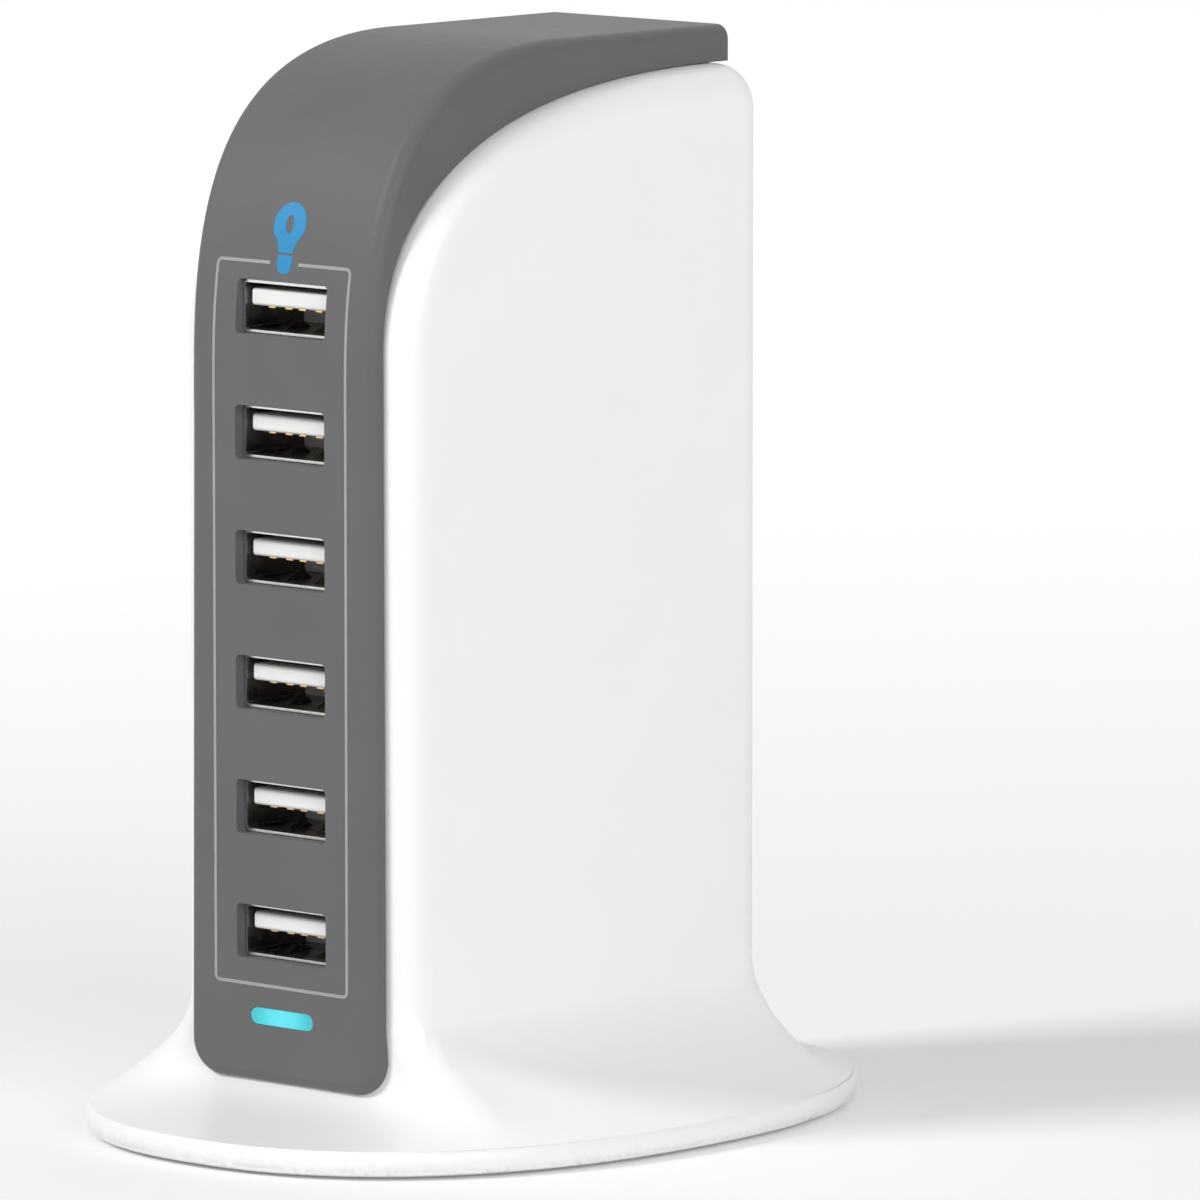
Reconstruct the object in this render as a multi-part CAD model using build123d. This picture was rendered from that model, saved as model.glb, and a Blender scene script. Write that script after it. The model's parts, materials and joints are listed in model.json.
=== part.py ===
from build123d import *
import os
from math import cos, pi, sin

# Desktop charging tower. Millimetres, front towards -Y, +Z up, ground at zero under the base centre.

# Overall sizes
HEIGHT = 120.0
BASE_WIDTH = 72.0
BASE_LENGTH = 94.0
BODY_WIDTH = 34.8
BODY_DEPTH = 58.0
WALL = 2.0

# White body: edge rounding, top behind the band, and the curve of the shoulder
BODY_EDGE = 3.6
BODY_TOP = HEIGHT - 4.1
BACK_CORNER = 5.0
SHOULDER_START = HEIGHT - 33.0
SHOULDER_RISE = 23.6
SHOULDER_RUN = 0.43 * BODY_DEPTH

# Flared foot and its oval rim
FLARE_TOP = 15.0
RIM_TOP = 2.9
FOOT_PROUD = 0.5
OVAL_POWER = 2.3
SIDE_POWER = 2.4
FRONT_POWER = 8.0
RING_WIDTH = 8.0
FLARE_STEPS = (0.3, 0.5, 0.65, 0.76, 0.85, 0.92, 0.97, 1.0)
FLARE_POINTS = 4
RIM_NOSE = ((0.5, 1.0), (0.08, 0.77), (0.0, 0.5), (0.1, 0.23), (0.8, 0.0))
OVAL_BREAKS = (0.0, 0.62, 0.95, pi / 2)

# Grey band over the front and top
BAND_WIDTH = 27.4
BAND_PROUD = 2.0
BAND_EDGE = 1.6
BAND_LOW = 7.0
BAND_CORNER = 4.7
BAND_END = 0.92 * BODY_DEPTH / 2
BAND_SKIN = 2.0
BAND_GAP = 0.1
BAND_LAP = 2.7
BEND_START = HEIGHT - 41.1
BEND_RISE = 17.2

# Ports, to the sizes of a standard type A receptacle
PORT_COUNT = 6
PORT_LOW = 23.5
PORT_PITCH = (HEIGHT - 38.0) / PORT_COUNT
SHELL_WIDTH = 13.1
SHELL_HEIGHT = 5.72
SHELL_SHEET = 0.3
SHELL_LENGTH = 13.8
SHELL_SETBACK = 1.3
CUT_CLEARANCE = 0.1
TONGUE_WIDTH = 11.1
TONGUE_THICKNESS = 1.84
TONGUE_SETBACK = 0.4
TONGUE_LIFT = 0.97
CONTACT_PITCHES = (-3.5, -1.0, 1.0, 3.5)

# Light bar
LIGHT_LEVEL = 14.3
LIGHT_LENGTH = 9.3
LIGHT_HEIGHT = 1.8

# Boards, base cover and fixings
BOARD = 1.6
FIT = 0.15
COVER_THICKNESS = 1.6
SCREW = 2.5
INLET_LEVEL = 27.0
INLET_LOBE = 3.9
PIN_SPACING = 8.6
PIN_SIZE = 2.4
LEAD_RADIUS = 0.7
LEAD_BEND = 2.5

# Derived places
FRONT = -BODY_DEPTH / 2
BACK = BODY_DEPTH / 2
HALF_BODY = BODY_WIDTH / 2
BAND_FRONT = FRONT - BAND_PROUD
WINDOW = BAND_WIDTH / 2 - BAND_LAP
INNER_X = HALF_BODY - WALL
INNER_FRONT = FRONT + WALL
INNER_BACK = BACK - WALL
COVER_LOW = FOOT_PROUD + 0.2
COVER_TOP = COVER_LOW + COVER_THICKNESS
SHELL_FRONT = BAND_FRONT + SHELL_SETBACK
PORT_BOARD_FRONT = SHELL_FRONT + SHELL_LENGTH
PORT_BOARD_BACK = PORT_BOARD_FRONT + BOARD
PORT_LEVELS = [PORT_LOW + PORT_PITCH * n for n in range(PORT_COUNT)]
PORT_BOARD_LOW = 9.0
PORT_BOARD_TOP = PORT_LEVELS[-1] + 6.0
POWER_X = -INNER_X + 5.5
POWER_LOW = INLET_LEVEL + 15.0
POWER_TOP = HEIGHT - 16.0
POWER_FRONT = PORT_BOARD_BACK + 2.5
POWER_BACK = INNER_BACK - 3.0
BOSS_X = INNER_X - 3.9
BOSS_Y = BODY_DEPTH / 2 - 9.0
BOSS_PLACES = [(x, y) for x in (-BOSS_X, BOSS_X) for y in (-BOSS_Y, BOSS_Y)]
FACE = POWER_X + BOARD
STRETCH_Y = (POWER_BACK - POWER_FRONT) / 35.8
STRETCH_Z = (POWER_TOP - POWER_LOW) / 62.0
SHRINK = min(1.0, STRETCH_Y, STRETCH_Z)
TALL = min(1.0, (INNER_X - 1.0 - FACE) / 22.7)
INLET_HALF = PIN_SPACING / 2 + 6.0
INLET_DEPTH = 16.0
PIN_TAIL = INNER_BACK - INLET_DEPTH - 3.0
FOOT_RADIUS = 4.0
FOOT_X = 0.6 * (BASE_WIDTH / 2 - RING_WIDTH)
FOOT_Y = 0.66 * (BASE_LENGTH / 2 - RING_WIDTH)
FOOT_PLACES = [(x, y) for x in (-FOOT_X, FOOT_X) for y in (-FOOT_Y, FOOT_Y)]


def box(x0, x1, y0, y1, z0, z1):
    """Plain block between six limits."""
    return Pos((x0 + x1) / 2, (y0 + y1) / 2, (z0 + z1) / 2) * Box(x1 - x0, y1 - y0, z1 - z0)


def rod_x(radius, x0, x1, y, z):
    """Round bar lying along X."""
    return Pos((x0 + x1) / 2, y, z) * Rot(0, 90, 0) * Cylinder(radius, x1 - x0)


def rod_y(radius, y0, y1, x, z):
    """Round bar lying along Y."""
    return Pos(x, (y0 + y1) / 2, z) * Rot(90, 0, 0) * Cylinder(radius, y1 - y0)


def rod_z(radius, z0, z1, x, y):
    """Round bar standing along Z."""
    return Pos(x, y, (z0 + z1) / 2) * Cylinder(radius, z1 - z0)


def corner_arc(y, z, radius):
    """Quarter round from the top of a side outline down into its back."""
    half = radius * cos(pi / 4)
    middle = (y - radius + half, z - radius + half)
    return ThreePointArc((y - radius, z), middle, (y, z - radius))


def side_prism(curves, half_width):
    """Side outline, drawn as (Y, Z), carried across to both sides."""
    return extrude(Plane.YZ * make_face(curves), half_width, both=True)


def shoulder(inset):
    """Curve of the white body from its front up and back to its top."""
    front = FRONT + inset
    top = BODY_TOP - inset
    end = BACK - BACK_CORNER
    first = (front, SHOULDER_START + SHOULDER_RISE)
    second = (end - SHOULDER_RUN, top)
    return Bezier((front, SHOULDER_START), first, second, (end, top))


def sail(inset):
    """Body above the flare, rounded along every edge of its side outline."""
    curve = shoulder(inset)
    front = FRONT + inset
    back = BACK - inset
    radius = BACK_CORNER - inset
    corner = corner_arc(back, BODY_TOP - inset, radius)
    rise = Line((front, FLARE_TOP), (front, SHOULDER_START))
    fall = Line((back, BODY_TOP - inset - radius), (back, FLARE_TOP))
    floor = Line((back, FLARE_TOP), (front, FLARE_TOP))
    half = HALF_BODY - inset
    block = side_prism([rise, curve, corner, fall, floor], half)
    rounded = [e for e in block.edges() if abs(abs(e.center().X) - half) < 0.01]
    rounded = [e for e in rounded if e.center().Z > FLARE_TOP + 0.01]
    return fillet(rounded, BODY_EDGE - inset)


def oval_point(angle, half_width, half_length):
    """Point of the oval in its first quarter."""
    power = 2 / OVAL_POWER
    return half_width * cos(angle) ** power, half_length * max(sin(angle), 0.0) ** power


def body_point(stretch, part, half_width, half_depth, radius):
    """Point of the body outline in its first quarter: side, corner or back."""
    if stretch == 0:
        return half_width, part * (half_depth - radius)
    if stretch == 1:
        angle = part * pi / 2
        x = half_width - radius + radius * cos(angle)
        return x, half_depth - radius + radius * sin(angle)
    return (1 - part) * (half_width - radius), half_depth


def flare_point(stretch, part, blend, inset, ring):
    """Point between body outline and oval, blended apart in X and in Y."""
    side, front = blend
    x, y = body_point(stretch, part, HALF_BODY - inset, BODY_DEPTH / 2 - inset, BODY_EDGE - inset)
    first = OVAL_BREAKS[stretch]
    angle = min(first + part * (OVAL_BREAKS[stretch + 1] - first), pi / 2 - 1e-9)
    oval_x, oval_y = oval_point(angle, BASE_WIDTH / 2 - ring, BASE_LENGTH / 2 - ring)
    return x + (oval_x - x) * side, y + (oval_y - y) * front


def flare_quarter(blend, inset, ring):
    """Three rows of points from the side round the corner to the middle of the back."""
    parts = [n / FLARE_POINTS for n in range(FLARE_POINTS + 1)]
    return [[flare_point(s, part, blend, inset, ring) for part in parts] for s in range(3)]


def flare_rows(level, blend, inset, ring):
    """Eight rows of points that close round one level of the flare."""
    side, corner, end = flare_quarter(blend, inset, ring)
    right = [(x, -y) for x, y in reversed(side)] + side[1:]
    back = end + [(-x, y) for x, y in reversed(end[:-1])]
    back_left = [(-x, y) for x, y in reversed(corner)]
    half = [right, corner, back, back_left]
    rows = half + [[(-x, -y) for x, y in row] for row in half]
    return [[Vector(x, y, level) for x, y in row] for row in rows]


def flare_outline(level, blend, inset, ring):
    """Closed smooth outline of one level, in eight stretches."""
    rows = flare_rows(level, blend, inset, ring)
    turns = []
    for n, row in enumerate(rows):
        before = (row[0] - rows[n - 1][-2]).normalized()
        turns.append((before + (row[1] - row[0]).normalized()).normalized())
    turns.append(turns[0])
    edges = []
    for n, row in enumerate(rows):
        parts = [step / (len(row) - 1) for step in range(len(row))]
        edges.append(Edge.make_spline(row, turns[n:n + 2], parameters=parts))
    return Wire(edges)


def body_outline(inset):
    """Plan outline of the body where the flare begins."""
    rows = flare_rows(FLARE_TOP, (0.0, 0.0), inset, 0.0)
    edges = []
    for n, row in enumerate(rows):
        if n % 2:
            edges.append(Edge.make_three_point_arc(row[0], row[FLARE_POINTS // 2], row[-1]))
        else:
            edges.append(Edge.make_line(row[0], row[-1]))
    return Wire(edges)


def flare(inset, ring, drop):
    """Concave skirt from the body outline out to the oval."""
    levels = [body_outline(inset)]
    for step in FLARE_STEPS:
        level = FLARE_TOP + (RIM_TOP - FLARE_TOP) * step - drop * step
        blend = (step ** SIDE_POWER, step ** FRONT_POWER)
        levels.append(flare_outline(level, blend, inset, ring))
    return Solid.make_loft(levels)


def oval_outline(level, ring):
    """Oval of the base, set in by a ring."""
    return flare_outline(level, (1.0, 1.0), 0.0, ring)


def rim():
    """Bull nosed edge of the base."""
    rise = RIM_TOP - FOOT_PROUD
    return Solid.make_loft([oval_outline(FOOT_PROUD + rise * up, ring) for ring, up in RIM_NOSE])


def oval_plate(ring, low, high):
    """Flat oval plate between two levels."""
    return extrude(Face(oval_outline(low, ring)), high - low, dir=(0, 0, 1))


def body_outside():
    """Whole outside of the white body, foot and rim."""
    return sail(0.0) + flare(0.0, RIM_NOSE[0][0], 0.0) + rim()


def body_inside():
    """Hollow of the white body down to the base cover."""
    return sail(WALL) + flare(WALL, RING_WIDTH, COVER_TOP - COVER_LOW)


def front_window():
    """Opening up the front and over the shoulder, under the band."""
    inner = shoulder(WALL + 0.5)
    start = inner @ 0
    finish = inner @ 0.93
    high = HEIGHT + 5
    low = BAND_LOW + 3.5
    curve = inner.trim(0, 0.93)
    down = Line((start.X, low), (start.X, start.Y))
    over = Polyline((finish.X, finish.Y), (finish.X, high), (FRONT - 9, high), (FRONT - 9, low), (start.X, low))
    return side_prism([down, curve, over], WINDOW)


def figure_eight():
    """Outline of the mains inlet recess, drawn as (X, Z)."""
    sketch = Rectangle(PIN_SPACING, 1.5 * INLET_LOBE)
    for side in (-1, 1):
        sketch += Pos(side * PIN_SPACING / 2, 0) * Circle(INLET_LOBE)
    return sketch


def inlet_recess(y0, y1):
    """Recess of the inlet between two depths."""
    plane = Plane((0, y1, INLET_LEVEL), x_dir=(1, 0, 0), z_dir=(0, -1, 0))
    return extrude(plane * figure_eight(), y1 - y0)


def inlet_collar():
    """Frame on the back wall that holds the inlet body."""
    half = INLET_HALF
    low = INLET_LEVEL - 6.0
    high = INLET_LEVEL + 6.0
    outer = box(-half - 1.5, half + 1.5, INNER_BACK - 6, INNER_BACK + 0.5, low - 1.5, high + 1.5)
    return outer - box(-half - FIT, half + FIT, INNER_BACK - 7, INNER_BACK, low - FIT, high + FIT)


def board_guides():
    """Short ribs on both side walls that take the edges of the port board."""
    ribs = []
    middle = (PORT_LEVELS[0] + PORT_LEVELS[-1]) / 2
    for level in (PORT_LEVELS[0], middle, PORT_LEVELS[-1] - 4.0):
        for side in (-1, 1):
            x0, x1 = sorted((side * (INNER_X - 2.6), side * (INNER_X + 0.4)))
            before = PORT_BOARD_FRONT - FIT
            after = PORT_BOARD_BACK + FIT
            ribs.append(box(x0, x1, before - 1.4, before, level - 4, level + 4))
            ribs.append(box(x0, x1, after, after + 1.4, level - 4, level + 4))
    return ribs


def screw_bosses():
    """Posts for the base cover screws, webbed to the side walls."""
    posts = []
    for x, y in BOSS_PLACES:
        side = 1 if x > 0 else -1
        x0, x1 = sorted((x, side * (INNER_X + 0.8)))
        web = box(x0, x1, y - 1.0, y + 1.0, FLARE_TOP - 3.0, FLARE_TOP + 6.0)
        post = rod_z(3.0, COVER_TOP, FLARE_TOP + 6.0, x, y)
        posts.append(post + web - rod_z(SCREW / 2 + 0.05, COVER_TOP - 1, COVER_TOP + 9.0, x, y))
    return posts


def standoff_places():
    """Places of the power board screws as (Y, Z)."""
    low = POWER_LOW + 3.5
    front = POWER_FRONT + 3.5
    return [(POWER_BACK - 3.5, low), (front, low), (front, POWER_TOP - 3.5)]


def standoffs():
    """Posts on the left wall that carry the power board."""
    posts = []
    for y, z in standoff_places():
        post = rod_x(3.0, -INNER_X - 0.5, POWER_X, y, z)
        posts.append(post - rod_x(SCREW / 2 + 0.05, POWER_X - 4.5, POWER_X + 1, y, z))
    return posts


def hook_levels():
    """Levels of the three pairs of snap hooks."""
    return [PORT_LEVELS[n] + PORT_PITCH / 2 for n in (0, 2, 4)]


def hooks():
    """Snap hooks behind the band that grip the back of the window edge."""
    pieces = []
    arm = WINDOW - FIT
    for level in hook_levels():
        for side in (-1, 1):
            outline = Polyline(
                (side * (arm - 1.3), FRONT - 0.3),
                (side * arm, FRONT - 0.3),
                (side * arm, INNER_FRONT + FIT),
                (side * (arm + 0.9), INNER_FRONT + FIT),
                (side * arm, INNER_FRONT + 2.6),
                (side * (arm - 1.3), INNER_FRONT + 2.6),
                close=True,
            )
            pieces.append(Pos(0, 0, level - 3) * extrude(make_face(outline), 6, dir=(0, 0, 1)))
    return pieces


def make_housing():
    """White moulding: sides, back, shoulder edges and flared foot in one piece."""
    housing = body_outside() - body_inside() - front_window()
    housing -= oval_plate(RING_WIDTH - 0.6, FOOT_PROUD - 1, COVER_TOP)
    housing += [inlet_collar()] + board_guides() + screw_bosses() + standoffs()
    return housing - inlet_recess(INNER_BACK - 1, BACK + 1)


def bend(inset):
    """Outer curve of the band from its front up and back to its flat top."""
    front = BAND_FRONT + inset
    top = HEIGHT - inset
    return Bezier((front, BEND_START), (front, BEND_START + BEND_RISE), (front + 0.5, top), (0.0, top))


def band_block():
    """Band before it is fitted to the body, with soft edges all round."""
    deep = FRONT + 12
    top = BODY_TOP - 22
    half = BAND_WIDTH / 2
    rise = Line((BAND_FRONT, BAND_LOW), (BAND_FRONT, BEND_START))
    rest = Polyline((0.0, HEIGHT), (BAND_END, HEIGHT), (BAND_END, top), (deep, top), (deep, BAND_LOW), (BAND_FRONT, BAND_LOW))
    block = side_prism([rise, bend(0.0), rest], half)
    low_edges = block.edges().filter_by(Axis.Y).group_by(Axis.Z)[0]
    block = fillet(low_edges, BAND_CORNER)
    face = block.faces().filter_by(Axis.Y).sort_by(Axis.Y)[0]
    chain = list(face.edges())
    for e in block.edges():
        centre = e.center()
        on_side = abs(abs(centre.X) - half) < 0.01
        if on_side and (centre.Z > BODY_TOP and centre.Y < BAND_END - 0.1):
            chain.append(e)
    chain = [e for e in chain if e.center().Z < BEND_START - 0.1 or abs(e.center().X) > 1]
    return fillet(chain, BAND_EDGE)


def port_cuts():
    """Openings for the receptacles."""
    width = SHELL_WIDTH + 2 * CUT_CLEARANCE
    height = SHELL_HEIGHT + 2 * CUT_CLEARANCE
    plane = Plane((0, FRONT + 5, 0), x_dir=(1, 0, 0), z_dir=(0, -1, 0))
    sketch = RectangleRounded(width, height, 0.6)
    return [extrude(plane * Pos(0, level) * sketch, BAND_PROUD + 8) for level in PORT_LEVELS]


def light_cut():
    """Slot for the light bar."""
    plane = Plane((0, FRONT + 1, LIGHT_LEVEL), x_dir=(1, 0, 0), z_dir=(0, -1, 0))
    return extrude(plane * SlotOverall(LIGHT_LENGTH + 0.1, LIGHT_HEIGHT + 0.1), BAND_PROUD + 4)


def band_hollow():
    """Space inside the band where it stands high over the shoulder."""
    end = BAND_END - BAND_SKIN
    curve = bend(BAND_SKIN + 0.2)
    start = curve @ 0
    finish = curve @ 1
    rest = Polyline(
        (finish.X, finish.Y),
        (end, finish.Y),
        (end, BODY_TOP - 25),
        (start.X, BODY_TOP - 40),
        (start.X, start.Y),
    )
    return side_prism([curve, rest], BAND_WIDTH / 2 - BAND_SKIN)


def band_seat():
    """Space that the body takes up under the band, with a small gap all over."""
    front = FRONT - BAND_GAP
    end = BACK - BACK_CORNER
    top = BODY_TOP + BAND_GAP
    rise = Line((front, FLARE_TOP), (front, SHOULDER_START))
    rest = Polyline((end, top), (BACK + 9, top), (BACK + 9, FLARE_TOP), (front, FLARE_TOP))
    seat = side_prism([rise, shoulder(-BAND_GAP), rest], HALF_BODY + 1)
    return seat + flare(-BAND_GAP, RIM_NOSE[0][0], 0.0)


def make_front_band():
    """Grey band that lies on the body and closes its front and top."""
    band = band_block() - band_seat() - band_hollow()
    band += hooks()
    return band - port_cuts() - light_cut()


def make_base_cover():
    """Oval plate that closes the foot, with screw seats, foot seats and board posts."""
    cover = oval_plate(RING_WIDTH - 0.4, COVER_LOW, COVER_TOP)
    middle = (PORT_BOARD_FRONT + PORT_BOARD_BACK) / 2
    for x in (-9.0, 9.0):
        cover += box(x - 2.0, x + 2.0, middle - 1.5, middle + 1.5, COVER_TOP - 0.5, PORT_BOARD_LOW)
    for x, y in BOSS_PLACES:
        cover -= rod_z(2.6, COVER_LOW - 1, COVER_LOW + 0.8, x, y)
        cover -= rod_z(SCREW / 2 + 0.15, COVER_LOW - 1, COVER_TOP + 1, x, y)
    for x, y in FOOT_PLACES:
        cover -= rod_z(FOOT_RADIUS + 0.1, COVER_LOW - 1, COVER_LOW + 0.5, x, y)
    return cover


def make_feet():
    """Four rubber discs the tower stands on."""
    discs = []
    for x, y in FOOT_PLACES:
        disc = rod_z(FOOT_RADIUS, 0.0, COVER_LOW + 0.5, x, y)
        discs.append(chamfer(disc.edges().group_by(Axis.Z)[0], 0.3))
    return discs


def make_cover_screws():
    """Four screws from below into the posts of the housing."""
    screws = []
    for x, y in BOSS_PLACES:
        head = rod_z(2.3, COVER_LOW, COVER_LOW + 0.8, x, y)
        slot = box(x - 1.5, x + 1.5, y - 0.25, y + 0.25, COVER_LOW - 1, COVER_LOW + 0.4)
        screws.append(head + rod_z(SCREW / 2, COVER_LOW + 0.5, COVER_TOP + 8.0, x, y) - slot)
    return screws


def make_light_pipe():
    """Clear bar in the band slot, with a flange behind it and a taper to the lamp."""
    plane = Plane((0, FRONT, LIGHT_LEVEL), x_dir=(1, 0, 0), z_dir=(0, -1, 0))
    bar = extrude(plane * SlotOverall(LIGHT_LENGTH, LIGHT_HEIGHT), BAND_PROUD - 0.1)
    flange = extrude(plane * SlotOverall(LIGHT_LENGTH + 2.0, LIGHT_HEIGHT + 2.0), -1.0)
    wide = Pos(0, LIGHT_LEVEL) * Rectangle(LIGHT_LENGTH - 0.4, LIGHT_HEIGHT)
    narrow = Pos(0, LIGHT_LEVEL) * Rectangle(3.6, 2.6)
    start = Plane((0, FRONT + 0.9, 0), x_dir=(1, 0, 0), z_dir=(0, -1, 0))
    finish = Plane((0, PORT_BOARD_FRONT - 2.1, 0), x_dir=(1, 0, 0), z_dir=(0, -1, 0))
    return bar + flange + loft([start * wide, finish * narrow])


def make_lamp():
    """Small lamp on the port board behind the light pipe."""
    front = PORT_BOARD_FRONT
    base = box(-1.75, 1.75, front - 1.0, front, LIGHT_LEVEL - 1.4, LIGHT_LEVEL + 1.4)
    return base + rod_y(1.1, front - 1.9, front - 0.9, 0.0, LIGHT_LEVEL)


def make_port_board():
    """Upright board behind the receptacles."""
    half = INNER_X - 2 * FIT
    return box(-half, half, PORT_BOARD_FRONT, PORT_BOARD_BACK, PORT_BOARD_LOW, PORT_BOARD_TOP)


def front_tube(width, height, radius, y0, y1, level):
    """Rounded bar along Y, for the receptacle shell."""
    plane = Plane((0, y1, level), x_dir=(1, 0, 0), z_dir=(0, -1, 0))
    return extrude(plane * RectangleRounded(width, height, radius), y1 - y0)


def spring_tab(x, level):
    """Leaf spring standing up from the floor of a shell."""
    floor = level - SHELL_HEIGHT / 2 + SHELL_SHEET
    start = SHELL_FRONT + 1.6
    leaf = Polyline(
        (start, floor - 0.1),
        (start + 2.4, floor + 0.75),
        (start + 3.4, floor + 0.6),
        (start + 4.6, floor - 0.1),
        close=True,
    )
    return Pos(x, 0, 0) * extrude(Plane.YZ * make_face(leaf), 0.8, both=True)


def make_shell(level):
    """Folded steel shell of one receptacle."""
    outer = front_tube(SHELL_WIDTH, SHELL_HEIGHT, 0.6, SHELL_FRONT, PORT_BOARD_FRONT, level)
    width = SHELL_WIDTH - 2 * SHELL_SHEET
    height = SHELL_HEIGHT - 2 * SHELL_SHEET
    inner = front_tube(width, height, 0.3, SHELL_FRONT - 1, PORT_BOARD_FRONT + 1, level)
    return outer - inner + [spring_tab(x, level) for x in (-2.9, 2.9)]


def make_tongue(level):
    """Insulator of one receptacle: tongue in the upper half, block at the back."""
    middle = level + TONGUE_LIFT
    block_front = PORT_BOARD_FRONT - 4.6
    half = TONGUE_WIDTH / 2
    low = middle - TONGUE_THICKNESS / 2
    high = middle + TONGUE_THICKNESS / 2
    tongue = box(-half, half, SHELL_FRONT + TONGUE_SETBACK, block_front + 0.5, low, high)
    tip = tongue.edges().filter_by(Axis.X).group_by(Axis.Y)[0]
    tongue = fillet(tip, 0.4)
    width = SHELL_WIDTH / 2 - SHELL_SHEET - 0.03
    rise = SHELL_HEIGHT / 2 - SHELL_SHEET - 0.03
    block = box(-width, width, block_front, PORT_BOARD_FRONT, level - rise, level + rise)
    return tongue + fillet(block.edges().filter_by(Axis.Y), 0.35)


def make_contacts(level):
    """Four contact strips under the tongue."""
    top = level + TONGUE_LIFT - TONGUE_THICKNESS / 2
    start = SHELL_FRONT + TONGUE_SETBACK + 0.9
    finish = PORT_BOARD_FRONT - 4.6
    return [box(x - 0.5, x + 0.5, start, finish, top - 0.25, top) for x in CONTACT_PITCHES]


def make_power_board():
    """Board that carries the mains parts, on posts from the left wall."""
    board = box(POWER_X, FACE, POWER_FRONT, POWER_BACK, POWER_LOW, POWER_TOP)
    return board - [rod_x(SCREW / 2 + 0.15, POWER_X - 1, FACE + 1, y, z) for y, z in standoff_places()]


def make_board_screws():
    """Three screws that hold the power board."""
    screws = []
    for y, z in standoff_places():
        shank = rod_x(SCREW / 2, POWER_X - 4.0, FACE + 0.3, y, z)
        screws.append(shank + rod_x(2.3, FACE, FACE + 1.4, y, z))
    return screws


def on_board(y0, y1, z0, z1, x0, x1):
    """Block on the power board, measured from its lower front corner and its face."""
    y_low = POWER_FRONT + y0 * STRETCH_Y
    y_high = POWER_FRONT + y1 * STRETCH_Y
    z_low = POWER_LOW + z0 * STRETCH_Z
    z_high = POWER_LOW + z1 * STRETCH_Z
    return box(FACE + x0 * TALL, FACE + x1 * TALL, y_low, y_high, z_low, z_high)


def can_on_board(y, z, radius, tall):
    """Capacitor can standing on the power board, with a bevelled top."""
    place_y = POWER_FRONT + y * STRETCH_Y
    place_z = POWER_LOW + z * STRETCH_Z
    can = rod_x(radius * SHRINK, FACE, FACE + tall * TALL, place_y, place_z)
    return chamfer(can.edges().group_by(Axis.X)[-1], 0.6)


def make_transformer_core():
    """Ferrite frame with a middle leg."""
    core = on_board(3.3, 23.3, 24.0, 44.0, 5.0, 11.0)
    for y0, y1 in ((6.3, 10.5), (16.1, 20.3)):
        core -= on_board(y0, y1, 27.0, 41.0, 4.0, 12.0)
    return core


def make_transformer_coil():
    """Wound bobbin round the middle leg, on a foot plate."""
    coil = on_board(6.5, 20.1, 27.2, 40.8, 1.0, 15.5)
    coil = fillet(coil.edges().filter_by(Axis.Z), 1.6 * SHRINK)
    coil -= on_board(10.4, 16.2, 26.0, 42.0, 4.9, 11.1)
    return coil + on_board(4.3, 22.3, 25.0, 43.0, 0.0, 1.5)


def make_filter_choke():
    """Wound ring of the mains filter."""
    y = POWER_FRONT + 8.3 * STRETCH_Y
    z = POWER_LOW + 15.0 * STRETCH_Z
    ring = rod_x(6.8 * SHRINK, FACE, FACE + 6.5, y, z) - rod_x(2.8 * SHRINK, FACE - 1, FACE + 8, y, z)
    return chamfer(ring.edges().group_by(Axis.X)[-1], 1.2)


def make_fuse():
    """Tube fuse lying on the power board."""
    z = POWER_LOW + 4.8 * STRETCH_Z
    y0 = POWER_FRONT + 7.3 * STRETCH_Y
    y1 = POWER_FRONT + 17.8 * STRETCH_Y
    radius = 1.9 * SHRINK
    return rod_y(radius, y0, y1, FACE + radius, z)


def make_safety_capacitor():
    """Disc capacitor between the two sides of the transformer."""
    radius = 4.0 * SHRINK
    y0 = POWER_FRONT + 24.0 * STRETCH_Y
    y1 = POWER_FRONT + 27.0 * STRETCH_Y
    disc = rod_y(radius, y0, y1, FACE + radius, POWER_LOW + 40.0 * STRETCH_Z)
    return chamfer(disc.edges().filter_by(GeomType.CIRCLE), 0.8)


def make_link_pins():
    """Pins that join the header to the port board."""
    pins = []
    for step in (46.5, 49.0, 51.5):
        z = POWER_LOW + step * STRETCH_Z
        pins.append(rod_y(0.4, PORT_BOARD_BACK, POWER_FRONT, FACE + 1.25 * TALL, z))
    return pins


def make_inlet():
    """Insulating body of the two pin mains inlet."""
    front = INNER_BACK - INLET_DEPTH
    body = box(-INLET_HALF, INLET_HALF, front, INNER_BACK, INLET_LEVEL - 6.0, INLET_LEVEL + 6.0)
    body -= inlet_recess(front + 5.0, INNER_BACK + 1)
    for x in (-PIN_SPACING / 2, PIN_SPACING / 2):
        body -= rod_y(PIN_SIZE / 2, front - 1, front + 6, x, INLET_LEVEL)
    return body


def make_inlet_pins():
    """Two round pins with rounded tips."""
    pins = []
    for x in (-PIN_SPACING / 2, PIN_SPACING / 2):
        pin = rod_y(PIN_SIZE / 2, PIN_TAIL, BACK - 2.5, x, INLET_LEVEL)
        pins.append(fillet(pin.edges().group_by(Axis.Y)[-1], 0.8))
    return pins


def make_leads():
    """Two insulated leads from the inlet pins up to the power board."""
    leads = []
    for side, place in ((-1, 7.8), (1, 13.8)):
        x = side * PIN_SPACING / 2
        y = POWER_FRONT + place * STRETCH_Y
        z = POWER_LOW + 1.2 * STRETCH_Z
        start = (x, PIN_TAIL, INLET_LEVEL)
        path = FilletPolyline(start, (x, y, INLET_LEVEL), (x, y, z), (FACE, y, z), radius=LEAD_BEND)
        leads.append(sweep(Plane(start, z_dir=path % 0) * Circle(LEAD_RADIUS), path))
    return leads


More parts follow.
